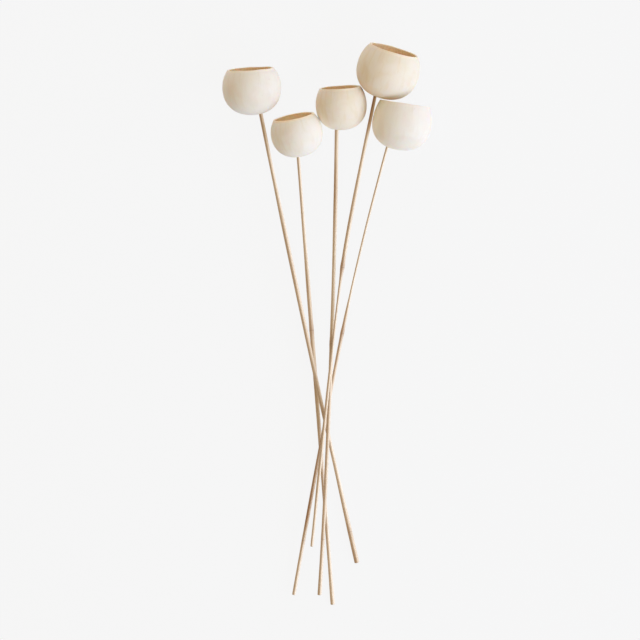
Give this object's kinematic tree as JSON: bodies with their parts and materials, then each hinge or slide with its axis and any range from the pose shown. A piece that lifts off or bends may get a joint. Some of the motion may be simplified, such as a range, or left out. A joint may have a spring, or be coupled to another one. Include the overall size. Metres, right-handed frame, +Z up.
{
  "type": "dried bell cup bunch",
  "caption": "Loose bunch of dried, bleached hollow bell cups on thin reed stems; the stems cross and the bunch lies on its side on a surface.",
  "frame": {"origin": "centre of the bunch's footprint, on the surface it lies on", "axes": "+Y along the bunch towards the cups, +X to the right as seen from above, +Z up from the surface"},
  "size_m": [0.2096, 0.5641, 0.0636],
  "materials": {
    "bleached_shell": "bleached woody shell, matt, pale rim, tan inside",
    "dried_reed": "dry reed, satin, fine lengthwise fibres, darker joints",
    "dried_glue": "cloudy dried glue, slightly glossy"
  },
  "bodies": {
    "root": {"outer_left_cup": "bleached_shell", "outer_left_stem": "dried_reed", "outer_left_glue": "dried_glue", "lower_left_cup": "bleached_shell", "lower_left_stem": "dried_reed", "lower_left_glue": "dried_glue", "middle_cup": "bleached_shell", "middle_stem": "dried_reed", "middle_glue": "dried_glue", "upper_right_cup": "bleached_shell", "upper_right_stem": "dried_reed", "upper_right_glue": "dried_glue", "lower_right_cup": "bleached_shell", "lower_right_stem": "dried_reed", "lower_right_glue": "dried_glue"}
  },
  "joints": []
}
